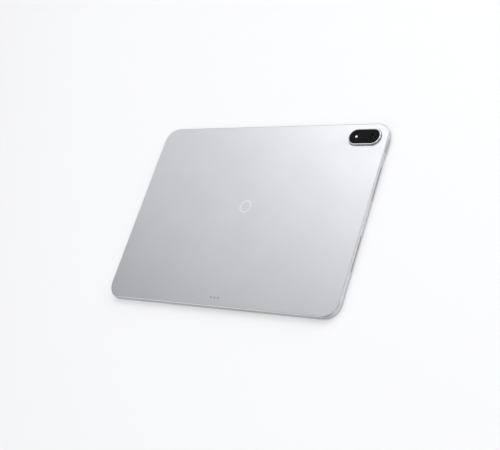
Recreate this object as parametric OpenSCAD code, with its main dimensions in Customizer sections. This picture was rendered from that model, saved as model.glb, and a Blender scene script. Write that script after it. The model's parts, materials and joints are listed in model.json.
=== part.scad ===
// Tablet computer with a 7:5 display: an aluminium tray closed by a glass screen.
//
// It lies on its screen, as on a table, and is seen from the back: x runs across the short
// side, y along the long side with the power key's edge at +y and the USB port's at -y, and
// z from the glass (0) to the back (body_t). The origin is under the middle of the whole.

/* [Body] */
// Length of the long side
body_l = 290; // [270:1:310]
// Width of the short side
body_w = 210; // [200:1:225]
// Thickness from glass to back, without the camera island
body_t = 6; // [5.8:0.1:7]
// Corner radius seen from the back
corner_r = 16.5; // [14:0.5:17.5]
// Rounding of the wall where it turns into the back
back_edge_r = 1.6; // [0.8:0.1:1.8]
// Rounding of the wall towards the glass
front_edge_r = 2.2; // [1.2:0.1:2.4]
// Thickness of the back plate
back_plate_t = 0.8; // [0.6:0.1:0.9]

/* [Camera island] */
// Length of the black window
window_l = 34.5; // [30:0.5:38]
// Width of the black window
window_w = 16.3; // [14:0.1:18]
// Height of the island over the back
island_h = 1.7; // [1.2:0.1:2]
// Metal shown round the window on top of the island
island_rim = 0.75; // [0.6:0.05:1.2]
// Further spread of the island's sloping side down to the back
island_slope = 1; // [0.6:0.1:1.4]

/* [Keys and ports] */
// Length of the power key
power_key_l = 15; // [10:0.5:15]
// Length of the volume rocker
rocker_l = 24; // [20:0.5:28]
// Thickness of both keys
key_t = 2.4; // [2:0.1:2.6]
// How far the keys stand out of the wall
key_out = 0.45; // [0.3:0.05:0.6]
// Free travel of the power key
key_travel = 0.3; // [0.2:0.05:0.35]
// Holes in one speaker grille
grille_holes = 15; // [9:2:17]
// Pitch of the speaker holes
grille_pitch = 2.5; // [2.2:0.1:2.6]
// Diameter of a speaker hole
grille_d = 1.5; // [0.9:0.1:1.6]

/* [Screen] */
// Thickness of the cover glass
glass_t = 0.7; // [0.5:0.05:0.7]
// Dark border between the body's edge and the lit area
bezel = 7.5; // [7:0.5:12]

/* [Hidden] */
$fn = 48;
fit_gap = 0.1;
SPEAKERS = [0:3];
NODES = concat(
    ["rear_housing", "camera_island", "camera_window", "rear_camera", "rear_camera_lens",
     "rear_camera_flex", "flash_lens", "flash_board", "emblem_ring", "dock_contacts",
     "dock_insulator", "dock_board", "dock_flex", "dock_magnets", "power_key", "power_switch",
     "power_bracket", "volume_rocker", "volume_switches", "volume_bracket", "cover_glass",
     "glass_adhesive", "display_trim", "display_panel", "backlight_unit", "display_flex",
     "front_camera", "front_camera_lens", "light_sensor", "main_board", "processor",
     "processor_shield", "memory_shield", "radio_shield", "heat_spreader", "graphite_sheet",
     "battery_cell_left", "battery_cell_right", "battery_board", "battery_flex", "usb_board",
     "usb_shell", "usb_tongue", "link_flex", "speaker_meshes", "microphones", "antenna_left",
     "antenna_right", "antenna_cable_left", "antenna_cable_right", "stylus_coil",
     "stylus_magnets", "board_screws"],
    [for (i = SPEAKERS) str("speaker_box_", i + 1)]
);

// Wall and layers, from the glass (z = 0) to the back
upper_wall_t = 1.7;                      // wall beside the glass
lower_wall_t = 3.4;                      // wall below the ledge
ledge_z = 1.55;                          // the display trim sits on this ledge
rim_z = 0.4;                             // front rim of the wall
inside_top = body_t - back_plate_t;      // inner face of the back plate
glass_inset = 2.2;
adhesive_t = 0.2;
trim_shelf_z = glass_t + adhesive_t;
panel_z = glass_t + 0.05;
panel_t = 0.6;
backlight_z = panel_z + panel_t;
backlight_t = 0.85;
panel_over = 1.5;                        // panel hidden beyond the lit area, each side
end_bezel = bezel + 1;                   // a little more room at the USB and key edges
panel_r = 7;
panel_w = body_w - 2 * (bezel - panel_over);
panel_l = body_l - 2 * (end_bezel - panel_over);
sheet_z = backlight_z + backlight_t + 0.03;
sheet_t = 0.1;
bay_z = 2.45;                            // electronics start here, behind the screen
board_z = 3.3;
board_t = 0.6;
inner_w = body_w - 2 * lower_wall_t;
inner_l = body_l - 2 * lower_wall_t;

// Places on the back and along the edges
island_x = -body_w / 2 + 16.2;
island_y = body_l / 2 - 26.6;
lens_y = island_y + 9.6;
flash_y = island_y - 9;
window_t = 0.6;
window_under = body_t + island_h - window_t - 0.15;
lens_d = 8.6;
flash_d = 4;
emblem_x = -8;
emblem_d = 14;
emblem_band = 1;
emblem_depth = 0.3;
dock_x = body_w / 2 - 9.7;
dock_pitch = 4.8;
dock_pin_d = 1.8;
dock_hole_d = 2.4;
port_z = 3.3;                            // middle of the port and the grilles
power_x = -body_w / 2 + 25.5;
rocker_y = body_l / 2 - 63;
key_wall_t = 1.5;                        // wall in front of a key's flange
flange_t = 0.4;
nib_h = 0.5;
dome_h = 0.25;
power_play = 0.04;                       // flange to wall at rest
rocker_play = 0.35;                      // lets the rocker tip
rocker_press = 0.2;                      // nib to dome on the rocker
fulcrum_r = 0.6;
key_pocket_z = 1.75;
grille_x = 37.5;
usb_open_w = 8.34;
usb_open_t = 2.56;
usb_sheet = 0.3;
usb_depth = 6.2;
mic_d = 0.9;
mic_places = [[-body_w / 2, 30], [-body_w / 2, -52]];
front_camera_x = -body_w / 2 + 3.9;
front_camera_d = 2.2;
sensor_y = 12;

// Electronics bay
cell_w = (body_w - 41) / 2;
cell_l = body_l - 130;
cell_t = 2.5;
cell_y = -8;
cell_left_x = -body_w / 2 + 9 + cell_w / 2;
cell_right_x = body_w / 2 - 20.5 - cell_w / 2;
cell_top = cell_y + cell_l / 2;
flex_t = 0.15;
flex_z = 2.83;                           // ribbons run here, under the boards
board_y = body_l / 2 - 47;
board_w = body_w - 38;
board_l = 36;
board_x = 11;
link_x = -5.7;
flex_ends = [link_x, 33, cell_right_x + 24];
shield_h = 1;
speaker_w = 52;
speaker_l = 20;
speaker_y = inner_l / 2 - 0.5 - speaker_l / 2;
screw_r = 0.7;
boss_r = 2;
screw_places = concat(
    [for (sx = [-1, 1], sy = [-1, 1]) [board_x + sx * (board_w / 2 - 4), board_y + sy * (board_l / 2 - 4)]],
    [for (sx = [-1, 1], sy = [-1, 1], e = [-1, 1]) [sx * grille_x + e * (speaker_w / 2 - 3), sy * (speaker_y - 5)]]
);
cable_r = 0.4;

// ---- shared shapes -----------------------------------------------------------------

// A flat outline with true round corners
module outline(w, l, r) {
    if (w - 2 * r > 0.0001) square([w - 2 * r, l], center = true);
    if (l - 2 * r > 0.0001) square([w, l - 2 * r], center = true);
    for (sx = [-1, 1], sy = [-1, 1])
        translate([sx * (w / 2 - r), sy * (l / 2 - r)]) circle(r);
}

module plate(w, l, t, r, z = 0) {
    translate([0, 0, z]) linear_extrude(t) outline(w, l, r);
}

// Carries a profile round a rounded rectangle. The profile's x is measured from the
// centre of the corner's arc, its y upwards.
module round_the_edge(w, l, r) {
    long = l - 2 * r;
    short = w - 2 * r;
    for (i = [0:3])
        translate([(i == 0 || i == 3 ? 1 : -1) * short / 2, (i < 2 ? 1 : -1) * long / 2, 0])
            rotate([0, 0, 90 * i]) rotate_extrude(angle = 90) children();
    for (s = [0, 180]) rotate([0, 0, s]) {
        if (long > 0)
            translate([short / 2, long / 2, 0]) rotate([90, 0, 0]) linear_extrude(long) children();
        if (short > 0)
            translate([-short / 2, long / 2, 0]) rotate([90, 0, 90]) linear_extrude(short) children();
    }
}

// A pill-shaped body round the z axis: children are the half section of its ends
module pill(length) {
    for (s = [-1, 1]) translate([0, s * length / 2, 0]) rotate_extrude() children();
    translate([0, length / 2, 0]) rotate([90, 0, 0]) linear_extrude(length) {
        children();
        mirror([1, 0]) children();
    }
}

// A stadium-shaped slot through the wall at the top or bottom edge, drawn along y
module slot_y(w, t, depth) {
    rotate([90, 0, 0]) linear_extrude(depth, center = true) outline(w, t, t / 2 - 0.001);
}

// Lays children along one speaker grille, centre to centre
module along_grille() {
    for (i = [0:grille_holes - 1])
        translate([(i - (grille_holes - 1) / 2) * grille_pitch, 0, 0]) children();
}

module box(w, l, t, x = 0, y = 0, z = 0) {
    translate([x - w / 2, y - l / 2, z]) cube([w, l, t]);
}

// ---- rear housing ------------------------------------------------------------------

// Section of the wall: rounded outside, stepped inside for the display trim
module wall_section() {
    r = corner_r;
    difference() {
        union() {
            translate([r - front_edge_r, rim_z + front_edge_r]) circle(front_edge_r);
            translate([r - back_edge_r, body_t - back_edge_r]) circle(back_edge_r);
            polygon([[r - lower_wall_t, rim_z], [r - front_edge_r, rim_z], [r, rim_z + front_edge_r],
                     [r, body_t - back_edge_r], [r - back_edge_r, body_t], [r - lower_wall_t, body_t]]);
        }
        translate([r - upper_wall_t - 6, -1]) square([6, ledge_z + 1]);
        translate([r - lower_wall_t - 6, -1]) square([6, body_t + 2]);
    }
}

module grille_cuts() {
    for (sx = [-1, 1], sy = [-1, 1])
        translate([sx * grille_x, sy * (body_l / 2 - lower_wall_t / 2), port_z])
            along_grille() rotate([90, 0, 0])
                cylinder(d = grille_d, h = lower_wall_t + 2, center = true, $fn = 24);
}

module key_cuts() {
    // power key: a slot with a wider pocket behind it for the key's flange
    translate([power_x, body_l / 2 - 1, port_z])
        slot_y(power_key_l + 2 * fit_gap, key_t + 2 * fit_gap, 6);
    box(power_key_l + 3, lower_wall_t, inside_top - key_pocket_z,
        power_x, body_l / 2 - key_wall_t - lower_wall_t / 2, key_pocket_z);
    // volume rocker: the same on the long side
    translate([-body_w / 2 + 1, rocker_y, port_z]) rotate([0, 0, 90])
        slot_y(rocker_l + 2 * fit_gap, key_t + 2 * fit_gap, 6);
    box(lower_wall_t, rocker_l + 4, inside_top - key_pocket_z,
        -body_w / 2 + key_wall_t + lower_wall_t / 2, rocker_y, key_pocket_z);
}

module back_cuts() {
    translate([island_x, island_y, inside_top - 1])
        linear_extrude(3) outline(window_w - 2, window_l - 2, window_w / 2 - 1);
    translate([emblem_x, 0, body_t - emblem_depth]) difference() {
        cylinder(d = emblem_d, h = 1);
        translate([0, 0, -1]) cylinder(d = emblem_d - 2 * emblem_band, h = 3);
    }
    at_dock_pins() translate([0, 0, inside_top - 1]) cylinder(d = dock_hole_d, h = 3);
}

module screw_bosses() {
    for (p = screw_places)
        translate([p.x, p.y, board_z + board_t]) difference() {
            cylinder(r = boss_r, h = inside_top - board_z - board_t + 0.2, $fn = 32);
            translate([0, 0, -0.1]) cylinder(r = screw_r + 0.05, h = 1.2, $fn = 24);
        }
}

// Low ribs that keep the cells off the boards
module bay_ribs() {
    for (y = [cell_y - cell_l / 2 - 2, cell_y + cell_l / 2 + 7])
        box(170, 0.8, 1.4, -4, y, inside_top - 1.2);
    box(0.8, cell_l - 10, 1.4, cell_left_x + cell_w / 2 + 0.8, cell_y, inside_top - 1.2);
    box(0.8, cell_l - 10, 1.4, cell_right_x - cell_w / 2 - 0.8, cell_y, inside_top - 1.2);
}

module rear_housing() color("#d5d6da") difference() {
    union() {
        round_the_edge(body_w, body_l, corner_r) wall_section();
        plate(body_w - 2 * lower_wall_t + 0.4, body_l - 2 * lower_wall_t + 0.4, back_plate_t,
              corner_r - lower_wall_t + 0.2, inside_top);
        screw_bosses();
        bay_ribs();
    }
    grille_cuts();
    key_cuts();
    back_cuts();
    translate([0, -body_l / 2, port_z])
        slot_y(usb_open_w + 2 * usb_sheet + 0.2, usb_open_t + 2 * usb_sheet + 0.16, 10);
    for (p = mic_places)
        translate([p.x, p.y, port_z]) rotate([0, 90, 0]) cylinder(d = mic_d, h = 10, center = true, $fn = 24);
    // room for the front camera and the light sensor beside the display
    box(lower_wall_t, sensor_y + 12, inside_top - 1, -body_w / 2 + 1.5 + lower_wall_t / 2,
        sensor_y / 2, 1);
}

// ---- camera island -----------------------------------------------------------------

// Sloping base, small bright chamfer at its top, and a collar that sits in the back plate
module camera_island() color("#c9cacf") {
    top_r = window_w / 2 + island_rim;
    base_r = top_r + island_slope;
    edge = 0.3;
    difference() {
        union() {
            pill(window_l - window_w)
                polygon([[0, 0], [base_r, 0], [base_r - island_slope * 0.25, island_h * 0.35],
                         [top_r + edge, island_h - edge], [top_r, island_h], [0, island_h]]);
            translate([0, 0, -back_plate_t + 0.05]) linear_extrude(back_plate_t)
                outline(window_w - 2.2, window_l - 2.2, window_w / 2 - 1.1);
        }
        translate([0, 0, island_h - window_t]) linear_extrude(2)
            outline(window_w + 0.04, window_l + 0.04, window_w / 2);
        translate([0, lens_y - island_y, -3]) cylinder(d = lens_d, h = 8);
        translate([0, flash_y - island_y, -3]) cylinder(d = flash_d, h = 8);
    }
}

module on_island() translate([island_x, island_y, body_t]) children();

module camera_window() color("#0d0e10")
    translate([0, 0, island_h - window_t]) linear_extrude(window_t) difference() {
        outline(window_w - 0.06, window_l - 0.06, window_w / 2 - 0.03);
        translate([0, flash_y - island_y]) circle(d = 2.6, $fn = 32);
    }

// Camera barrel on its sensor block, under the window
module rear_camera() color("#1b1c1f") {
    translate([island_x, lens_y, 0]) difference() {
        union() {
            box(9.6, 9.6, 2.4, 0, 0, 2.7);
            translate([0, 0, 5]) cylinder(d = lens_d - 0.4, h = window_under - 5);
        }
        translate([0, 0, 4.2]) cylinder(d = 5, h = 5);
    }
}

module rear_camera_lens() color("#2b3440")
    translate([island_x, lens_y, window_under - 1.55]) intersection() {
        cylinder(d = 4.9, h = 1.4);
        translate([0, 0, -4.2]) sphere(r = 5.5, $fn = 64);
    }

// Ribbon from the camera's side, round to the main board
module rear_camera_flex() color("#b5762d") {
    box(6, 22, flex_t, island_x + 7.9, lens_y - 12, flex_z);
    box(13, 6, flex_t, island_x + 11.5, lens_y - 22, flex_z);
}

module flash_lens() color("#f4f1e4")
    translate([island_x, flash_y, window_under]) {
        cylinder(d = 3.6, h = 0.13);
        cylinder(d = 2.5, h = window_t + 0.12);
    }

module flash_board() color("#1e5c3c") {
    box(7, 7, 0.4, island_x, flash_y, 4.1);
    box(2, 2, 0.7, island_x, flash_y, 4.5);
}

// ---- emblem and dock contacts ------------------------------------------------------

module emblem_ring() color("#b4b5ba")
    translate([emblem_x, 0, body_t - emblem_depth]) linear_extrude(emblem_depth - 0.02) difference() {
        circle(d = emblem_d - 0.04);
        circle(d = emblem_d - 2 * emblem_band + 0.04);
    }

module at_dock_pins() for (i = [-1:1]) translate([dock_x, i * dock_pitch, 0]) children();

module dock_contacts() color("#c8b48a") at_dock_pins() {
    translate([0, 0, inside_top - 0.8]) cylinder(d = dock_pin_d, h = 1.5, $fn = 32);
    translate([0, 0, inside_top - 0.8]) cylinder(d = dock_pin_d + 0.8, h = 0.3, $fn = 32);
}

module dock_insulator() color("#8f9196") difference() {
    union() {
        at_dock_pins() translate([0, 0, inside_top - 0.1])
            cylinder(d = dock_hole_d - 0.04, h = back_plate_t + 0.05);
        translate([dock_x, 0, inside_top - 0.4]) linear_extrude(0.36)
            outline(5, 2 * dock_pitch + 5, 1.5);
    }
    at_dock_pins() cylinder(d = dock_pin_d + 0.02, h = 10, $fn = 32);
}

module dock_board() color("#1e5c3c") box(8.4, 24, 0.6, dock_x, 0, inside_top - 1.45);

// Ribbon along the long side, up to the main board
module dock_flex() color("#b5762d") {
    bottom = 10;
    top = board_y - 16.5;
    box(4, top - bottom, flex_t, dock_x - 4, (top + bottom) / 2, flex_z);
    box(4, flex_t, 0.88, dock_x - 4, bottom + flex_t / 2, flex_z);
}

module dock_magnets() color("#8d9096")
    for (y = [-66, -46, -26, 26, 46, 66]) box(8, 16, 1.6, dock_x, y, inside_top - 1.7);

// ---- keys --------------------------------------------------------------------------

// Key cap with a flange behind the wall and nibs that press the switches. The wall's
// outer face is at y = 0; play is the gap between flange and wall at rest.
module key_cap(length, play, nibs) {
    back = key_wall_t + play;
    lip = 0.15;
    rotate([-90, 0, 0]) {
        translate([0, 0, -back - 0.1]) linear_extrude(back + 0.1 + key_out - lip)
            outline(length, key_t, key_t / 2 - 0.001);
        translate([0, 0, key_out - lip]) linear_extrude(lip)
            outline(length - 2 * lip, key_t - 2 * lip, key_t / 2 - lip - 0.001);
        translate([0, 0, -back - flange_t]) linear_extrude(flange_t)
            outline(length + 1.6, key_t - 0.2, 0.6);
        for (x = nibs)
            translate([x, 0, -back - flange_t - nib_h]) cylinder(r = 0.6, h = nib_h + 0.1, $fn = 24);
    }
}

module power_key() color("#cfd0d4")
    translate([power_x, body_l / 2, port_z]) key_cap(power_key_l, power_play, [0]);

module volume_rocker() color("#cfd0d4")
    translate([-body_w / 2, rocker_y, port_z]) rotate([0, 0, 90])
        key_cap(rocker_l, rocker_play, [-8, 8]);

// Dome switch on its bracket, mid-body at (0, 0), pressing side towards +y
module dome_switch() {
    box(4.4, 0.6, 2, 0, -0.3, port_z - 1);
    translate([0, 0, port_z]) rotate([-90, 0, 0]) cylinder(r = 0.9, h = dome_h, $fn = 24);
}

key_back = key_wall_t + flange_t;
power_depth = key_back + power_play + nib_h + key_travel + 0.03 + dome_h;
rocker_depth = key_back + rocker_play + nib_h + rocker_press + dome_h;

module power_switch() color("#c8ccd2")
    translate([power_x, body_l / 2 - power_depth, 0]) dome_switch();

module power_bracket() color("#8d9096")
    box(13, 0.5, 2.2, power_x, body_l / 2 - power_depth - 0.9, port_z - 1.1);

module volume_switches() color("#c8ccd2")
    for (dy = [-8, 8])
        translate([-body_w / 2 + rocker_depth, rocker_y + dy, 0]) rotate([0, 0, 90]) dome_switch();

// Bracket with the round rib that the rocker tips on
module volume_bracket() color("#8d9096") translate([-body_w / 2, rocker_y, port_z - 1.1]) {
    rib_x = key_back + rocker_play + 0.03 + fulcrum_r;
    box(0.5, 24, 2.2, rocker_depth + 0.9);
    translate([rib_x, -0.5, 0]) cube([rocker_depth + 0.9 - rib_x, 1, 2.2]);
    translate([rib_x, 0, 0]) cylinder(r = fulcrum_r, h = 2.2, $fn = 32);
}

// ---- screen ------------------------------------------------------------------------

module cover_glass() color("#101114") {
    r = corner_r - glass_inset;
    w = body_w - 2 * glass_inset;
    l = body_l - 2 * glass_inset;
    bevel = 0.3;
    round_the_edge(w, l, r)
        polygon([[r - 3, 0], [r - bevel, 0], [r - bevel * 0.3, bevel * 0.3], [r, bevel],
                 [r, glass_t], [r - 3, glass_t]]);
    plate(w - 5.8, l - 5.8, glass_t, r - 2.9);
}

// A flat frame between two distances in from the body's edge
module frame_plate(outer, inner, t, z, inner_r = 5) {
    translate([0, 0, z]) linear_extrude(t) difference() {
        outline(body_w - 2 * outer, body_l - 2 * outer, corner_r - outer);
        outline(body_w - 2 * inner, body_l - 2 * inner, inner_r);
    }
}

module glass_adhesive() color("#222222")
    difference() {
        frame_plate(2.5, 4.9, adhesive_t - 0.02, glass_t + 0.01);
        camera_window_cut(1.6);
    }

module camera_window_cut(extra) {
    translate([front_camera_x, 0, -1]) cylinder(d = front_camera_d + extra, h = 12, $fn = 32);
    translate([front_camera_x, sensor_y, -1]) cylinder(d = 1.8 + extra, h = 12, $fn = 32);
}

// Black plastic frame between glass and wall
module display_trim() color("#17181a") difference() {
    union() {
        frame_plate(upper_wall_t + 0.03, glass_inset - 0.03, ledge_z - 0.13, 0.12,
                    corner_r - glass_inset + 0.03);
        frame_plate(upper_wall_t + 0.03, 5.2, ledge_z - trim_shelf_z, trim_shelf_z);
    }
    // opening for the front camera and the light sensor
    box(5, sensor_y + 11, 3, front_camera_x + 1.1, sensor_y / 2, trim_shelf_z - 0.5);
}

module display_panel() color("#15171b") plate(panel_w, panel_l, panel_t - 0.02, panel_r, panel_z);

module backlight_unit() color("#c4c6c9") plate(panel_w, panel_l, backlight_t, panel_r, backlight_z);

// Ribbon from the display to the main board, dropping one step
module display_flex() color("#b5762d")
    translate([46, cell_top, 0]) rotate([90, 0, -90]) linear_extrude(26)
        polygon([[8, sheet_z + 0.02], [-6, sheet_z + 0.02], [-8.5, flex_z], [-13.5, flex_z],
                 [-13.5, flex_z + flex_t], [-8.4, flex_z + flex_t], [-5.9, sheet_z + 0.17],
                 [8, sheet_z + 0.17]]);

module front_camera() color("#1b1c1f")
    translate([front_camera_x + 0.1, 0, 0]) difference() {
        union() {
            box(4, 6.4, 2.6, -0.15, 0, 1.7);
            translate([-0.1, 0, 0.95]) cylinder(d = 2.6, h = 1.2);
        }
        translate([-0.1, 0, 0]) cylinder(d = front_camera_d - 0.4, h = 2.2, $fn = 32);
    }

module front_camera_lens() color("#2b3440")
    translate([front_camera_x, 0, 1.5]) cylinder(d = front_camera_d - 0.5, h = 0.6, $fn = 32);

module light_sensor() color("#3a3c40") box(2.6, 3, 1.2, front_camera_x + 0.4, sensor_y, 1.1);

// ---- boards ------------------------------------------------------------------------

module screw_holes() for (p = screw_places)
    translate([p.x, p.y, 0]) cylinder(r = screw_r + 0.15, h = 20, $fn = 24);

module main_board() color("#1e5c3c") difference() {
    union() {
        box(board_w, board_l, board_t, board_x, board_y, board_z);
        for (x = flex_ends) box(10, 3, 0.3, x, board_y - 14, board_z - 0.28);
    }
    screw_holes();
}

module shield(w, l, x) color("#c4c6c9") difference() {
    box(w, l, shield_h, x, board_y, board_z + board_t);
    box(w - 0.4, l - 0.4, shield_h - 0.2, x, board_y, board_z + board_t - 0.01);
}

module processor_shield() shield(44, 30, -18);
module memory_shield() shield(30, 30, 24);
module radio_shield() shield(32, 30, 60);
module processor() color("#26272b") box(15, 15, 0.7, -18, board_y, board_z + board_t);

module heat_spreader() color("#c27c4e")
    box(88, 29, 0.2, 2, board_y, board_z + board_t + shield_h + 0.02);

module graphite_sheet() color("#3b3c3f") box(150, 120, sheet_t, 0, -20, sheet_z);

// ---- battery -----------------------------------------------------------------------

// Pouch cell: a flat pack with a folded seam along its top
module cell(x) color("#9fa3a8") {
    translate([x, cell_y, 0]) plate(cell_w, cell_l - 4, cell_t, 2, bay_z + 0.08);
    box(cell_w - 6, 2.6, 0.5, x, cell_y + cell_l / 2 - 1.2, bay_z + 1.2);
}

module battery_cell_left() cell(cell_left_x);
module battery_cell_right() cell(cell_right_x);

module battery_board() color("#1e5c3c") box(150, 3, 0.8, -5, cell_top + 2.2, bay_z + 1);

module battery_flex() color("#b5762d") translate([cell_right_x + 24, cell_top + 3.72, 0]) {
    box(9, 9.6, flex_t, 0, 4.8, flex_z);
    box(9, flex_t, 1.2, 0, flex_t / 2, flex_z);
}

// ---- USB ---------------------------------------------------------------------------

module usb_board() color("#1e5c3c") difference() {
    box(18, 18, 0.6, 0, -inner_l / 2 + 9.6, port_z - 0.3);
    box(9.6, 8, 3, 0, -inner_l / 2 + 3, port_z - 1.5);
}

module usb_shell() color("#b9bcc0") translate([0, -body_l / 2 + 0.1 + usb_depth / 2, port_z]) difference() {
    slot_y(usb_open_w + 2 * usb_sheet, usb_open_t + 2 * usb_sheet, usb_depth);
    translate([0, -0.3, 0]) slot_y(usb_open_w, usb_open_t, usb_depth);
}

module usb_tongue() color("#26272b") translate([0, -body_l / 2 + 0.1, port_z]) {
    base = usb_depth - usb_sheet - 0.4;
    box(6.7, base - 1, 0.7, 0, (base + 1) / 2, -0.35);
    box(6.8, 0.6, 2.2, 0, base, -1.1);
}

// Long ribbon between the cells, from the USB board to the main board
module link_flex() color("#b5762d") {
    bottom = -inner_l / 2 + 12;
    top = board_y - 12.5;
    box(9, top - bottom, flex_t, link_x, (top + bottom) / 2, flex_z);
}

// ---- sound -------------------------------------------------------------------------

// Corner i of the tablet as signs, counted from the top left
function corner(i) = [i % 2 == 0 ? -1 : 1, i < 2 ? 1 : -1];

// Enclosure with its diaphragm plate set in the screen side
module speaker_box(i) {
    c = corner(i);
    color("#232427") translate([c.x * grille_x, c.y * speaker_y, 0]) difference() {
        union() {
            box(speaker_w - 12, speaker_l, inside_top - bay_z - 0.1, 0, 0, bay_z);
            box(speaker_w, 8, 0.8, 0, -c.y * 5, board_z + board_t - 0.8);
        }
        box(24, 11, 0.5, 0, 0, bay_z - 0.1);
        for (e = [-1, 1]) translate([e * (speaker_w / 2 - 3), -c.y * 5, 0])
            cylinder(r = screw_r + 0.15, h = 20, $fn = 24);
    }
    color("#55585d") translate([c.x * grille_x, c.y * speaker_y, bay_z]) plate(20, 8, 0.36, 3, 0.06);
}

module speaker_meshes() color("#1a1b1d")
    for (sx = [-1, 1], sy = [-1, 1])
        box(grille_pitch * grille_holes, 0.2, 2.2, sx * grille_x, sy * (inner_l / 2 - 0.15),
            port_z - 1.1);

module microphones() color("#c8b48a")
    for (p = mic_places) box(1.2, 3.4, 2.2, p.x + lower_wall_t + 0.7, p.y, port_z - 1.1);

// ---- radio -------------------------------------------------------------------------

antenna_x = body_w / 2 - 19;
antenna_y = -inner_l / 2 + 12;

module antenna(s) {
    color("#2f3033") box(24, 14, 1.8, s * antenna_x, antenna_y, bay_z + 0.3);
    color("#b5762d") box(20, 10, flex_t, s * antenna_x, antenna_y, bay_z + 0.16);
}

module antenna_left() antenna(-1);
module antenna_right() antenna(1);

// Thin coaxial lead along y with a snap connector at each end
module antenna_lead(x, top) {
    bottom = antenna_y + 8;
    z = flex_z + 0.17;
    translate([x, bottom, z]) rotate([-90, 0, 0]) cylinder(r = cable_r, h = top - bottom, $fn = 24);
    box(1.6, 1.6, 0.7, x, bottom - 0.1, z - 0.35);
}
module antenna_cable_left() color("#2f3033") {
    x = -body_w / 2 + 7.8;
    y = board_y - 15;
    antenna_lead(x, y);
    translate([x, y, flex_z + 0.17]) {
        sphere(r = cable_r, $fn = 24);
        rotate([0, 90, 0]) cylinder(r = cable_r, h = board_x - board_w / 2 - 1 - x, $fn = 24);
    }
    box(2.4, 1.6, 0.55, board_x - board_w / 2, y, flex_z - 0.1);
}
module antenna_cable_right() color("#2f3033") {
    x = body_w / 2 - 18.2;
    antenna_lead(x, board_y - 18.8);
    box(1.6, 2.4, 0.55, x, board_y - 17.8, flex_z - 0.1);
}

// ---- stylus ------------------------------------------------------------------------

stylus_x = -inner_w / 2 + 1.8;
module stylus_coil() color("#b5762d") difference() {
    box(2, 22, 2, stylus_x, -24, port_z - 1);
    box(3, 16, 0.8, stylus_x, -24, port_z - 0.4);
}

module stylus_magnets() color("#8d9096")
    for (y = [-110, -94, -78, 50]) box(2, 14, 2, stylus_x, y, port_z - 1);

// ---- fasteners ---------------------------------------------------------------------

module board_screws() color("#9a9da2") for (p = screw_places) {
    on_board = abs(p.y) < speaker_y - 8;
    head = on_board ? board_z : board_z + board_t - 0.8;
    translate([p.x, p.y, head - 0.45]) difference() {
        union() {
            cylinder(r = 1.3, h = 0.43, $fn = 32);
            cylinder(r = screw_r, h = 1.9, $fn = 24);
        }
        box(1.4, 0.3, 0.2, 0, 0, -0.01);
        box(0.3, 1.4, 0.2, 0, 0, -0.01);
    }
}

// ---- assembly ----------------------------------------------------------------------

// The keys stand out on two sides only; this puts the middle of the whole at the origin
module centred() translate([key_out / 2, -key_out / 2, 0]) children();

module draw(name) {
    if (name == "rear_housing") rear_housing();
    if (name == "camera_island") on_island() camera_island();
    if (name == "camera_window") on_island() camera_window();
    if (name == "rear_camera") rear_camera();
    if (name == "rear_camera_lens") rear_camera_lens();
    if (name == "rear_camera_flex") rear_camera_flex();
    if (name == "flash_lens") flash_lens();
    if (name == "flash_board") flash_board();
    if (name == "emblem_ring") emblem_ring();
    if (name == "dock_contacts") dock_contacts();
    if (name == "dock_insulator") dock_insulator();
    if (name == "dock_board") dock_board();
    if (name == "dock_flex") dock_flex();
    if (name == "dock_magnets") dock_magnets();
    if (name == "power_key") power_key();
    if (name == "power_switch") power_switch();
    if (name == "power_bracket") power_bracket();
    if (name == "volume_rocker") volume_rocker();
    if (name == "volume_switches") volume_switches();
    if (name == "volume_bracket") volume_bracket();
    if (name == "cover_glass") cover_glass();
    if (name == "glass_adhesive") glass_adhesive();
    if (name == "display_trim") display_trim();
    if (name == "display_panel") display_panel();
    if (name == "backlight_unit") backlight_unit();
    if (name == "display_flex") display_flex();
    if (name == "front_camera") front_camera();
    if (name == "front_camera_lens") front_camera_lens();
    if (name == "light_sensor") light_sensor();
    if (name == "main_board") main_board();
    if (name == "processor") processor();
    if (name == "processor_shield") processor_shield();
    if (name == "memory_shield") memory_shield();
    if (name == "radio_shield") radio_shield();
    if (name == "heat_spreader") heat_spreader();
    if (name == "graphite_sheet") graphite_sheet();
    if (name == "battery_cell_left") battery_cell_left();
    if (name == "battery_cell_right") battery_cell_right();
    if (name == "battery_board") battery_board();
    if (name == "battery_flex") battery_flex();
    if (name == "usb_board") usb_board();
    if (name == "usb_shell") usb_shell();
    if (name == "usb_tongue") usb_tongue();
    if (name == "link_flex") link_flex();
    for (i = SPEAKERS) if (name == str("speaker_box_", i + 1)) speaker_box(i);
    if (name == "speaker_meshes") speaker_meshes();
    if (name == "microphones") microphones();
    if (name == "antenna_left") antenna_left();
    if (name == "antenna_right") antenna_right();
    if (name == "antenna_cable_left") antenna_cable_left();
    if (name == "antenna_cable_right") antenna_cable_right();
    if (name == "stylus_coil") stylus_coil();
    if (name == "stylus_magnets") stylus_magnets();
    if (name == "board_screws") board_screws();
}

for (name = NODES) centred() draw(name);
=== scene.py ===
import json
import math

import bmesh
import bpy
from mathutils import Matrix, Vector


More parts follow.
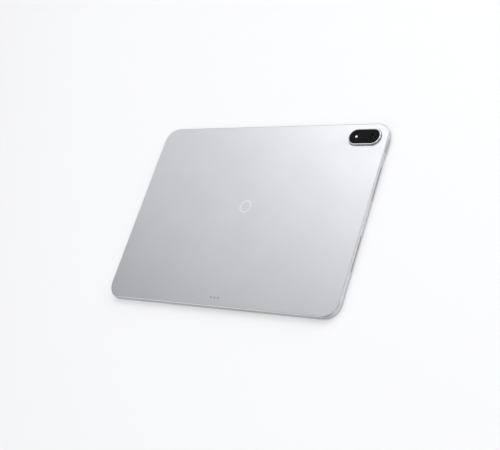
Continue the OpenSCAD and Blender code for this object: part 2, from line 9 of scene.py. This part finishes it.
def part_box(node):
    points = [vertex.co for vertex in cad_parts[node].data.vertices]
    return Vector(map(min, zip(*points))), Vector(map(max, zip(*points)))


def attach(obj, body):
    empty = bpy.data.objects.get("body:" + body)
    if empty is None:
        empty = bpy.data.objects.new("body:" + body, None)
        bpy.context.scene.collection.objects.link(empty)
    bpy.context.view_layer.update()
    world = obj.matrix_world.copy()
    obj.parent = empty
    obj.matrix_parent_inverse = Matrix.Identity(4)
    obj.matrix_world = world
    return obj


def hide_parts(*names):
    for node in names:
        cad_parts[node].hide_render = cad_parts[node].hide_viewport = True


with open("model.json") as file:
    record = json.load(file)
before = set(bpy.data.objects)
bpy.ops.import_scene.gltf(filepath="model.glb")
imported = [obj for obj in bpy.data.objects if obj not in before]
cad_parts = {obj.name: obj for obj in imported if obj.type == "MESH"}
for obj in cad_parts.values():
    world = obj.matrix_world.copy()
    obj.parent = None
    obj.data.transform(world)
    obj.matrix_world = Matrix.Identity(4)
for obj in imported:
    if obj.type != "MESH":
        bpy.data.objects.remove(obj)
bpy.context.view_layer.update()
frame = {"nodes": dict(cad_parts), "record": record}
nodes = frame["nodes"]
mm = 0.001

slotOf = {s["node"]: s["material_slot"] for s in frame["record"]["subparts"]}
bodyOf = {n: b for b, members in frame["record"]["behaviour"]["bodies"].items() for n in members}


def middle(node):
    low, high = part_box(node)
    return (Vector(low) + Vector(high)) / 2


class Wire:  # a socket that can be used in sums
    def __init__(self, graph, socket):
        self.graph = graph
        self.socket = socket

    def maths(self, operation, *values):
        return self.graph.add("ShaderNodeMath", {"operation": operation}, dict(enumerate(values)))

    def __add__(self, other):
        return self.maths("ADD", self, other)

    def __radd__(self, other):
        return self.maths("ADD", other, self)

    def __sub__(self, other):
        return self.maths("SUBTRACT", self, other)

    def __rsub__(self, other):
        return self.maths("SUBTRACT", other, self)

    def __mul__(self, other):
        return self.maths("MULTIPLY", self, other)

    def __rmul__(self, other):
        return self.maths("MULTIPLY", other, self)

    def __truediv__(self, other):
        return self.maths("DIVIDE", self, other)

    def __pow__(self, other):
        return self.maths("POWER", self, other)

    def size(self):
        return self.maths("ABSOLUTE", self)

    def sine(self):
        return self.maths("SINE", self)

    def most(self, other):
        return self.maths("MAXIMUM", self, other)

    def step(self, low, high):  # 0 below low, 1 above high, smooth between
        return self.graph.add("ShaderNodeMapRange", {"interpolation_type": "SMOOTHSTEP"},
                              {"Value": self, "From Min": low, "From Max": high})


class Finish:  # one material being built
    def __init__(self, name, **fixed):
        self.material = bpy.data.materials.new(name)
        self.material.use_nodes = True
        self.tree = self.material.node_tree
        self.shader = self.tree.nodes["Principled BSDF"]
        self.coords = None
        self.set(**fixed)

    def add(self, kind, settings=None, inputs=None, out=0):
        node = self.tree.nodes.new(kind)
        for key, value in (settings or {}).items():
            if key == "stops":
                ramp = node.color_ramp
                while len(ramp.elements) < len(value):
                    ramp.elements.new(1)
                for element, (place, colour) in zip(ramp.elements, value):
                    element.position = place
                    element.color = (*colour, 1)
            else:
                setattr(node, key, value)
        for key, value in (inputs or {}).items():
            if isinstance(value, Wire):
                self.tree.links.new(value.socket, node.inputs[key])
            else:
                node.inputs[key].default_value = value
        return Wire(self, node.outputs[out])

    def set(self, **values):
        for key, value in values.items():
            socket = self.shader.inputs[key.replace("_", " ")]
            if isinstance(value, Wire):
                self.tree.links.new(value.socket, socket)
            elif key == "Base_Color":
                socket.default_value = (*value, 1)
            else:
                socket.default_value = value
        return self

    def place(self):
        if self.coords is None:
            self.coords = self.add("ShaderNodeTexCoord", out="Object")
        return self.coords

    def axis(self, letter):
        return self.add("ShaderNodeSeparateXYZ", inputs={0: self.place()}, out=letter.upper())

    def noise(self, grain, detail=2, stretch=(1, 1, 1), rough=0.5):  # grain is one blotch's size in mm
        where = self.add("ShaderNodeMapping", inputs={"Vector": self.place(), "Scale": stretch})
        return self.add("ShaderNodeTexNoise", inputs={"Vector": where, "Scale": 1 / (grain * mm),
                                                      "Detail": detail, "Roughness": rough})

    def mix(self, mask, first, second):
        return self.add("ShaderNodeMix", {"data_type": "RGBA"},
                        {"Factor": mask, 6: (*first, 1) if isinstance(first, tuple) else first,
                         7: (*second, 1) if isinstance(second, tuple) else second}, out=2)

    def bump(self, height, depth, strength=1):
        return self.set(Normal=self.add("ShaderNodeBump", inputs={"Height": height, "Distance": depth * mm,
                                                                  "Strength": strength}))

    def ring(self, centre):  # distance in mm from an upright line through centre
        x = (self.axis("x") - centre[0]) / mm
        y = (self.axis("y") - centre[1]) / mm
        return (x * x + y * y) ** 0.5

    def facing(self, letter):  # part of the surface's direction along an axis, 0 to 1
        geometry = self.add("ShaderNodeNewGeometry", out="Normal")
        return self.add("ShaderNodeSeparateXYZ", inputs={0: geometry}, out=letter.upper()).size()


def blastedAluminium():
    # the wall colours are painted shade: the walls are coloured darker than the back, the long walls darkest
    look = {"light": (0.735, 0.74, 0.765), "dark": (0.715, 0.72, 0.745), "worn": (0.82, 0.825, 0.84),
            "longWallShade": (0.40, 0.403, 0.417), "shortWallShade": (0.64, 0.644, 0.66), "roughness": 0.37,
            "grain": 0.16, "sparkle": 0.45, "handled": 14, "blotch": 45,
            "hole": (0.01, 0.01, 0.011), "holeShadeReach": 1.0, "wallDepth": 3.2, "rowEnd": (0.062, 0.064)}
    f = Finish("blastedAluminium")
    cloud = f.noise(look["blotch"], 3)
    grain = f.noise(look["grain"], 2)
    sparkle = f.noise(look["sparkle"], 2, rough=0.7)
    handling = f.noise(look["handled"], 4, rough=0.6)
    turn = f.facing("z")
    rounded = turn.step(0.25, 0.6) * (1 - turn.step(0.86, 0.985))  # the roundings that hands polish
    wear = rounded * handling.step(0.42, 0.68)
    base = f.mix(cloud.step(0.3, 0.7), look["dark"], look["light"])
    speck = f.mix(grain.step(0.35, 0.75) * 0.35, base, look["worn"])
    # painted shade on the walls: darker on the long walls than on the short ones
    paintedWallShade = f.mix(f.facing("y").step(0.3, 0.9), look["longWallShade"], look["shortWallShade"])
    # where the surface turns from the back to the walls, its colour gives way to the painted wall shade
    backAndWallShade = f.mix((1 - turn.step(0.3, 0.8)) * (0.92 - grain * 0.12), speck, paintedWallShade)
    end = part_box("rear_housing")[1][1]
    wall = (f.axis("y").size() - (end - look["wallDepth"] * mm)) / mm  # depth into the short edges' walls
    level = ((f.axis("z") - middle("usb_tongue").z) / mm).size()
    # painted shade: the bores of the sound holes are coloured near black and made non-metallic
    paintedHoleShade = (wall.step(0, 0.1) * (1 - level.step(look["holeShadeReach"] - 0.2, look["holeShadeReach"]))
              * (1 - f.facing("y").step(0.3, 0.5)) * (1 - f.axis("x").size().step(*look["rowEnd"])))
    metal = f.mix(wear * 0.35, backAndWallShade, look["worn"])
    # the painted hole shade replaces the metal colour inside the sound holes
    f.set(Base_Color=f.mix(paintedHoleShade, metal, look["hole"]), Metallic=1 - paintedHoleShade,
          Roughness=look["roughness"] + (grain - 0.5) * 0.10 + (sparkle - 0.5) * 0.10
          + (handling - 0.5) * 0.06 - wear * 0.09)
    return f.bump(grain * 0.5 + sparkle * 0.9, 0.014, 0.4).material


def cutMetal(name, colour, roughness, spread, grain):
    f = Finish(name, Metallic=1.0)
    lines = f.noise(grain, 3, (1, 1, 9))
    blotch = f.noise(6, 2)
    light = tuple(min(1, c * 1.12) for c in colour)
    f.set(Base_Color=f.mix(lines * 0.5 + blotch * 0.5, colour, light),
          Roughness=roughness + (lines - 0.5) * spread + (blotch - 0.5) * spread)
    return f.bump(lines, 0.006, 0.3).material


def islandMetal():
    # the side colours are painted shade: the island's walls are dark grey as if in shadow; the cut colour is
    # the bright polished chamfer
    look = {"side": (0.34, 0.345, 0.36), "sideShadeFleck": (0.42, 0.425, 0.44), "cut": (0.76, 0.765, 0.78),
            "cutDepth": (0.27, 0.31), "roughness": 0.33}
    f = Finish("islandMetal", Metallic=1.0)
    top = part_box("camera_island")[1][2]
    height = (top - f.axis("z")) / mm
    grain = f.noise(0.14, 2)
    slope = 1 - f.facing("z").step(0.9, 0.97)
    cut = (1 - height.step(*look["cutDepth"])) * (0.35 + slope * 0.65)  # polished chamfer at the top
    # the island's sides take the painted shade, flecked by grain; the chamfer keeps its polished colour
    f.set(Base_Color=f.mix(cut, f.mix(grain, look["side"], look["sideShadeFleck"]), look["cut"]),
          Roughness=look["roughness"] + (grain - 0.5) * 0.1 - cut * 0.13)
    return f.bump(grain, 0.008, 0.3).material


def windowGlass():
    look = {"ink": (0.0012, 0.0012, 0.0018), "smear": (0.003, 0.003, 0.004), "dust": (0.06, 0.06, 0.06),
            "lens": 3.3, "edge": 0.12, "roughness": 0.045}
    f = Finish("windowGlass", IOR=1.5, Specular_IOR_Level=0.05)
    toLens = f.ring(middle("rear_camera_lens"))
    clear = 1 - toLens.step(look["lens"] - look["edge"], look["lens"])
    smear = f.noise(5, 4, (1, 0.35, 1), 0.6)
    dust = f.noise(0.5, 1).step(0.72, 0.8)
    ink = f.mix(smear * 0.3, look["ink"], look["smear"])
    f.set(Base_Color=f.mix(dust * 0.12, ink, look["dust"]),
          Roughness=look["roughness"] + smear.step(0.45, 0.8) * 0.06 + dust * 0.1, Alpha=1 - clear * 0.6)
    return f.material


def coverGlass():
    look = {"border": (0.003, 0.003, 0.004), "lit": (0.036, 0.038, 0.046), "print": (0.06, 0.062, 0.068),
            "hole": 1.0, "lap": 1.5, "roughness": 0.05}
    f = Finish("coverGlass", IOR=1.5, Coat_Weight=0.5, Coat_Roughness=0.03)
    low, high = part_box("display_panel")
    panel = middle("display_panel")
    across = ((f.axis("x") - panel.x) / mm).size() - ((high[0] - low[0]) / 2 / mm - look["lap"])
    along = ((f.axis("y") - panel.y) / mm).size() - ((high[1] - low[1]) / 2 / mm - look["lap"])
    lit = 1 - across.most(along).step(-0.06, 0.06)
    eye = 1 - f.ring(middle("front_camera_lens")).step(look["hole"] - 0.1, look["hole"])
    prints = f.noise(18, 5, rough=0.62).step(0.5, 0.75) * f.noise(0.45, 1, (1, 3, 1)).step(0.3, 0.7)
    f.set(Base_Color=f.mix(lit, look["border"], f.mix(prints * 0.25, look["lit"], look["print"])),
          Roughness=look["roughness"] + prints * 0.13, Alpha=1 - eye * 0.85)
    return f.material


def lensGlass():
    f = Finish("lensGlass", IOR=1.6, Coat_Weight=1.0, Coat_Roughness=0.01)
    # painted sheen: the lens's sloped surfaces are coloured a lighter purple, the flat top deep blue
    rim = f.facing("z").step(0.75, 1.0)
    f.set(Base_Color=f.mix(rim, (0.05, 0.03, 0.10), (0.006, 0.012, 0.028)),
          Roughness=0.04 + f.noise(0.3, 2) * 0.05)
    return f.material


def plastic(name, colour, roughness=0.5, grain=0.25, depth=0.01, **fixed):
    f = Finish(name, **fixed)
    texture = f.noise(grain, 3)
    blotch = f.noise(9, 2)
    light = tuple(min(1, c * 1.3 + 0.006) for c in colour)
    f.set(Base_Color=f.mix(texture * 0.5 + blotch * 0.5, colour, light),
          Roughness=roughness + (texture - 0.5) * 0.16 + (blotch - 0.5) * 0.08)
    return f.bump(texture, depth, 0.5).material


def flashPlastic():
    f = Finish("flashPlastic", IOR=1.5, Coat_Weight=0.6)
    rings = (f.ring(middle("flash_lens")) * 24).sine() * 0.5 + 0.5
    speck = f.noise(0.3, 2)
    f.set(Base_Color=f.mix(rings * 0.6 + speck * 0.4, (0.94, 0.93, 0.87), (0.99, 0.99, 0.97)),
          Roughness=0.14 + rings * 0.16)
    return f.bump(rings, 0.02, 0.6).material


def circuitBoard():
    f = Finish("circuitBoard", IOR=1.5, Coat_Weight=0.3)
    cells = f.add("ShaderNodeTexBrick", {"offset": 0.5, "squash": 0.7},
                  {"Vector": f.place(), "Scale": 1 / (3.1 * mm), "Mortar Size": 0.045, "Mortar Smooth": 0.2,
                   "Color1": (0, 0, 0, 1), "Color2": (0.25, 0.25, 0.25, 1), "Mortar": (1, 1, 1, 1)})
    pads = f.add("ShaderNodeTexVoronoi", {}, {"Vector": f.place(), "Scale": 1 / (1.6 * mm)})
    pad = 1 - pads.step(0.16, 0.22)
    track = f.add("ShaderNodeSeparateColor", inputs={0: cells})
    green = f.mix(track * 0.8, (0.010, 0.085, 0.050), (0.030, 0.190, 0.110))
    f.set(Base_Color=f.mix(pad, green, (0.72, 0.66, 0.45)), Metallic=pad, Roughness=0.42 - pad * 0.12)
    return f.bump(track + pad, 0.03, 0.5).material


def ribbon():
    f = Finish("ribbon", IOR=1.5, Coat_Weight=0.3)
    tracks = f.add("ShaderNodeTexWave", {"bands_direction": "X"},
                   {"Vector": f.place(), "Scale": 1 / (2.2 * mm), "Distortion": 0.4, "Detail": 1.0})
    f.set(Base_Color=f.mix(tracks, (0.30, 0.13, 0.03), (0.62, 0.33, 0.10)), Roughness=0.34 + tracks * 0.14)
    return f.bump(tracks, 0.01, 0.4).material


def batteryPouch():
    f = Finish("batteryPouch", Metallic=0.75)
    folds = f.noise(7, 4, (1, 0.25, 1), 0.6)
    f.set(Base_Color=f.mix(folds, (0.42, 0.43, 0.45), (0.62, 0.63, 0.65)), Roughness=0.34 + folds * 0.22)
    return f.bump(folds, 0.15, 0.5).material


def wovenMesh():
    f = Finish("wovenMesh", IOR=1.5)
    thread = 0.22
    grid = [(f.axis(a) * (math.tau / (thread * mm))).sine() for a in "xz"]
    weave = (grid[0] * grid[1] + 1) * 0.5
    f.set(Base_Color=f.mix(weave, (0.008, 0.008, 0.009), (0.06, 0.06, 0.065)), Roughness=0.55 + weave * 0.3)
    return f.bump(weave, 0.04, 0.7).material


finishes = {
    "aluminium_case": blastedAluminium(),
    "island_metal": islandMetal(),
    "camera_glass": windowGlass(),
    "camera_black": plastic("cameraBlack", (0.012, 0.012, 0.013), 0.45),
    "lens_glass": lensGlass(),
    "ribbon": ribbon(),
    "flash_diffuser": flashPlastic(),
    "circuit_board": circuitBoard(),
    "emblem_metal": cutMetal("emblemMetal", (0.90, 0.90, 0.92), 0.30, 0.05, 0.4),
    "contact_gold": cutMetal("contactGold", (0.62, 0.58, 0.48), 0.24, 0.08, 0.2),
    "grey_plastic": plastic("greyPlastic", (0.13, 0.133, 0.14), 0.5),
    "magnet": cutMetal("magnetNickel", (0.50, 0.51, 0.54), 0.25, 0.1, 1.2),
    "key_metal": cutMetal("keyMetal", (0.50, 0.505, 0.52), 0.3, 0.1, 0.15),
    "shield_metal": cutMetal("shieldMetal", (0.62, 0.64, 0.66), 0.32, 0.14, 1.5),
    "bracket_metal": cutMetal("bracketMetal", (0.45, 0.46, 0.48), 0.38, 0.14, 0.8),
    "cover_glass": coverGlass(),
    "black_rubber": plastic("blackRubber", (0.010, 0.010, 0.010), 0.7, 0.4),
    "black_plastic": plastic("blackPlastic", (0.012, 0.012, 0.014), 0.48, 0.2),
    "display_panel": plastic("displayPanel", (0.010, 0.011, 0.014), 0.2, 0.1, 0.002),
    "backlight": plastic("backlightTray", (0.62, 0.63, 0.65), 0.35, 1.5),
    "chip_plastic": plastic("chipPlastic", (0.020, 0.020, 0.022), 0.55, 0.15),
    "copper": cutMetal("copperFoil", (0.72, 0.40, 0.25), 0.3, 0.14, 1.0),
    "graphite": plastic("graphiteSheet", (0.045, 0.045, 0.048), 0.45, 0.8),
    "battery_pouch": batteryPouch(),
    "usb_metal": cutMetal("usbMetal", (0.62, 0.63, 0.65), 0.24, 0.1, 0.3),
    "mesh_black": wovenMesh(),
    "screw_steel": cutMetal("screwSteel", (0.50, 0.51, 0.53), 0.28, 0.1, 0.2),
}
for name, node in nodes.items():
    for i in range(len(node.material_slots)):
        node.material_slots[i].material = finishes[slotOf[name]]
print("finishes:", len(finishes))


def show(piece, node, replaced=()):
    piece.data.materials.clear()
    piece.data.materials.append(finishes[slotOf[node]])
    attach(piece, bodyOf[node])
    if replaced:
        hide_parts(*replaced)
    return piece


def newPiece(name, bm, node, replaced=()):
    mesh = bpy.data.meshes.new(name)
    bm.to_mesh(mesh)
    bm.free()
    piece = bpy.data.objects.new(name, mesh)
    bpy.context.collection.objects.link(piece)
    return show(piece, node, replaced)


def smoothed(name, node, crease=30):  # the machined shape with smooth roundings
    bm = bmesh.new()
    bm.from_mesh(nodes[node].data)
    bmesh.ops.remove_doubles(bm, verts=bm.verts, dist=0.0015 * mm)
    for face in bm.faces:
        face.smooth = True
    for edge in bm.edges:
        edge.smooth = edge.calc_face_angle(math.pi) < math.radians(crease)
    piece = newPiece(name, bm, node, [node])
    weigh = piece.modifiers.new("evenShading", "WEIGHTED_NORMAL")
    weigh.keep_sharp = True
    weigh.weight = 100
    return piece


visible = {"caseShell": "rear_housing", "islandBody": "camera_island", "islandWindow": "camera_window",
           "emblemInlay": "emblem_ring", "dockPins": "dock_contacts", "dockSeat": "dock_insulator",
           "powerCap": "power_key", "rockerCap": "volume_rocker", "screenGlass": "cover_glass",
           "screenTrim": "display_trim", "portShell": "usb_shell", "cameraBarrel": "rear_camera"}
for name, node in visible.items():
    smoothed(name, node)
print("smooth copies:", len(visible))


def turned(name, profile, centre, node, steps=64, replaced=()):  # spins a closed or axis-to-axis profile
    bm = bmesh.new()
    points = [bm.verts.new((centre.x + r * mm, centre.y, z)) for r, z in profile]
    for a, b in zip(points, points[1:]):
        bm.edges.new((a, b))
    bmesh.ops.spin(bm, geom=bm.verts[:] + bm.edges[:], cent=centre, axis=(0, 0, 1), angle=math.tau,
                   steps=steps, use_merge=True)
    bmesh.ops.remove_doubles(bm, verts=bm.verts, dist=0.001 * mm)
    bmesh.ops.recalc_face_normals(bm, faces=bm.faces)
    for face in bm.faces:
        face.smooth = False
    return newPiece(name, bm, node, replaced)


# stepped ring over the camera's lens, under the window
baffle = {"outer": 2.44, "inner": 1.45, "steps": 3, "drop": 0.2}
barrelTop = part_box("rear_camera")[1][2]
lens = middle("rear_camera_lens")
profile = []
for i in range(baffle["steps"] + 1):
    r = baffle["outer"] - (baffle["outer"] - baffle["inner"]) * i / baffle["steps"]
    z = barrelTop - 0.02 * mm - baffle["drop"] * mm * i / baffle["steps"]
    profile += [(r, z), (r, z - baffle["drop"] * mm / baffle["steps"])] if i < baffle["steps"] else [(r, z)]
profile += [(baffle["outer"], profile[-1][1]), profile[0]]
turned("lensBaffle", profile, lens, "rear_camera")

rim = {"inner": 2.6, "outer": 3.15, "lift": 0.02, "height": 0.1}
low, high = barrelTop + rim["lift"] * mm, barrelTop + (rim["lift"] + rim["height"]) * mm
turned("lensRim", [(rim["inner"], low), (rim["outer"], low), (rim["outer"], high),
                   (rim["inner"] + 0.12, high), (rim["inner"], low + 0.04 * mm), (rim["inner"], low)],
       lens, "rear_camera")

# flash lens with fine moulded rings
flash = {"radius": 1.25, "flange": 1.8, "flangeHeight": 0.13, "rings": 6, "groove": 0.05}
low, high = (c[2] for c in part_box("flash_lens"))
flangeTop = low + flash["flangeHeight"] * mm
profile = [(0, low), (flash["flange"], low), (flash["flange"], flangeTop), (flash["radius"], flangeTop),
           (flash["radius"], high - 0.02 * mm)]
for i in range(flash["rings"]):
    r = flash["radius"] * (1 - (i + 0.4) / flash["rings"])
    profile += [(r, high), (r - 0.03, high - flash["groove"] * mm)]
profile[-1] = (0, high)
turned("flashRings", profile, middle("flash_lens"), "flash_lens", replaced=["flash_lens"])

# gold contacts on both faces of the port's tongue
contacts = {"count": 12, "pitch": 0.5, "width": 0.26, "length": 3.4, "height": 0.05,
            "setBack": 0.4, "level": 0.35, "round": 0.012}
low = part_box("usb_tongue")[0]
port = middle("usb_tongue")
bm = bmesh.new()
for side in (-1, 1):
    for i in range(contacts["count"]):
        spot = Vector((port.x + (i - (contacts["count"] - 1) / 2) * contacts["pitch"] * mm,
                       low[1] + (contacts["setBack"] + contacts["length"] / 2) * mm,
                       port.z + side * contacts["level"] * mm))
        size = Matrix.Diagonal((contacts["width"] * mm, contacts["length"] * mm, contacts["height"] * mm, 1))
        pad = bmesh.ops.create_cube(bm, size=1, matrix=Matrix.Translation(spot) @ size)
        edges = {e for v in pad["verts"] for e in v.link_edges}
        bmesh.ops.bevel(bm, geom=list(edges), offset=contacts["round"] * mm, affect="EDGES",
                        segments=1, profile=0.5, material=-1)
newPiece("portContacts", bm, "microphones")  # the finish of the microphones' gold, on the same body
print("small pieces made")

# the floor, open where the screen rests on it so that the glass is lit from below as well
floorLook = {"colour": (0.93, 0.93, 0.935), "fibre": (0.95, 0.95, 0.955), "spread": 28, "inset": 3.2,
             "corner": 13.3, "steps": 8}
low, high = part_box("rear_housing")
half = [(high[i] - low[i]) / 2 - floorLook["inset"] * mm for i in (0, 1)]
centre = middle("rear_housing")
bm = bmesh.new()
bmesh.ops.create_grid(bm, x_segments=1, y_segments=1, size=1,
                      matrix=Matrix.Translation((centre.x, centre.y, 0)) @ Matrix.Diagonal((*half, 1, 1)))
bmesh.ops.bevel(bm, geom=bm.verts[:], offset=floorLook["corner"] * mm, affect="VERTICES",
                segments=floorLook["steps"], profile=0.5, material=-1)
opening = bm.faces[:]
spread = bmesh.ops.extrude_edge_only(bm, edges=bm.edges[:])
bmesh.ops.scale(bm, vec=(floorLook["spread"], floorLook["spread"], 1),
                verts=[v for v in spread["geom"] if isinstance(v, bmesh.types.BMVert)])
bmesh.ops.delete(bm, geom=opening, context="FACES_ONLY")
bmesh.ops.recalc_face_normals(bm, faces=bm.faces)
mesh = bpy.data.meshes.new("studioFloor")
bm.to_mesh(mesh)
bm.free()
floor = bpy.data.objects.new("studioFloor", mesh)
bpy.context.collection.objects.link(floor)
paper = Finish("floorPaper")
fibre = paper.noise(1.2, 3)
paper.set(Base_Color=paper.mix(fibre, floorLook["colour"], floorLook["fibre"]), Roughness=0.75 + fibre * 0.1)
mesh.materials.append(paper.material)

lamps = {
    "keyPanel": {"from": (-1.09, -0.39, 1.24), "size": 1.1, "power": 4.4},
    "wrapPanel": {"from": (-0.80, -0.95, 1.15), "size": 1.0, "power": 1.7},
    "overPanel": {"from": (0.25, 0.35, 2.2), "size": 1.3, "power": 18},
    "backPanel": {"from": (0.85, 1.25, 1.6), "size": 1.0, "power": 5},
    "lowPanel": {"from": (-2.3, 1.04, 1.15), "size": 2.0, "power": 17},
    "longEdgePanel": {"from": (0.95, -0.95, 0.95), "size": 0.5, "power": 2},
    "shortEdgePanel": {"from": (-0.5, 1.3, 0.75), "size": 0.5, "power": 2},
    "underPanel": {"from": (1.5, 0.9, -1.5), "size": 1.6, "power": 16},
}
for name, lamp in lamps.items():
    light = bpy.data.lights.new(name, "AREA")
    light.size = lamp["size"]
    light.energy = lamp["power"]
    rig = bpy.data.objects.new(name, light)
    rig.location = lamp["from"]
    rig.rotation_euler = (-Vector(lamp["from"])).to_track_quat("-Z", "Y").to_euler()
    rig.visible_glossy = name != "overPanel"  # else its reflection turns the back white from above
    bpy.context.collection.objects.link(rig)

world = bpy.data.worlds.new("studioAir")
world.use_nodes = True
sky = world.node_tree.nodes["Background"].inputs
sky["Color"].default_value = (0.97, 0.98, 1, 1)
sky["Strength"].default_value = 0.36
bpy.context.scene.world = world
bpy.context.scene.view_settings.view_transform = "Standard"

shot = {"aim": (0.0134, 0.0136, 0.006), "azimuth": 149.62, "elevation": 46.25, "distance": 1.0637,
        "roll": -48.56, "lens": 75.22, "sensor": 36}
azimuth, elevation = math.radians(shot["azimuth"]), math.radians(shot["elevation"])
outward = Vector((math.sin(azimuth) * math.cos(elevation), -math.cos(azimuth) * math.cos(elevation),
                  math.sin(elevation)))
lensData = bpy.data.cameras.new("studioCamera")
lensData.lens = shot["lens"]
lensData.sensor_width = shot["sensor"]
lensData.clip_start = 0.01
camera = bpy.data.objects.new("studioCamera", lensData)
camera.matrix_world = (Matrix.Translation(Vector(shot["aim"]) + outward * shot["distance"])
                       @ (-outward).to_track_quat("-Z", "Y").to_matrix().to_4x4()
                       @ Matrix.Rotation(math.radians(shot["roll"]), 4, "Z"))
bpy.context.collection.objects.link(camera)
bpy.context.scene.camera = camera
